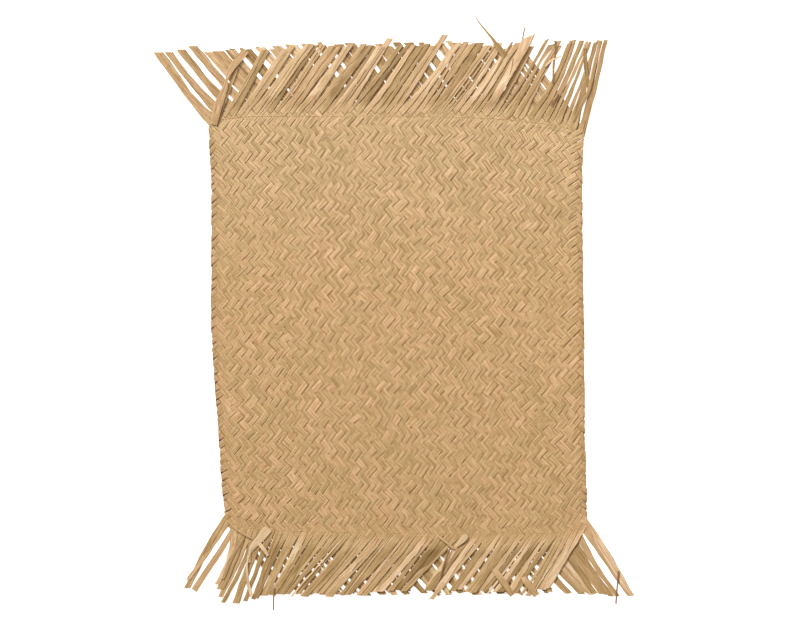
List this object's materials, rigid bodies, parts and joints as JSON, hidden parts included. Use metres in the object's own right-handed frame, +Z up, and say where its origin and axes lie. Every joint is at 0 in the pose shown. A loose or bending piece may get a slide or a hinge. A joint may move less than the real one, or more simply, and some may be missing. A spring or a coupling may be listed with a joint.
{
  "type": "woven placemat",
  "caption": "Flat rectangular placemat plaited on the diagonal from natural leaf strips, with the strips' loose ends trimmed as a fringe at both ends.",
  "frame": {"origin": "on the table, under the middle of the whole mat with its fringes", "axes": "+X across the mat to the right, +Y along it towards the top fringe, +Z up from the table"},
  "size_m": [0.4172, 0.5078, 0.002],
  "materials": {
    "leaf": "dry undyed leaf strip, plaited, satin with fine lengthwise fibres",
    "loose_leaf": "dry undyed leaf strip, loose, satin with fine lengthwise fibres"
  },
  "bodies": {
    "root": {"plaited_sheet": "leaf", "fringe_top": "loose_leaf", "fringe_bottom": "loose_leaf"}
  },
  "joints": []
}
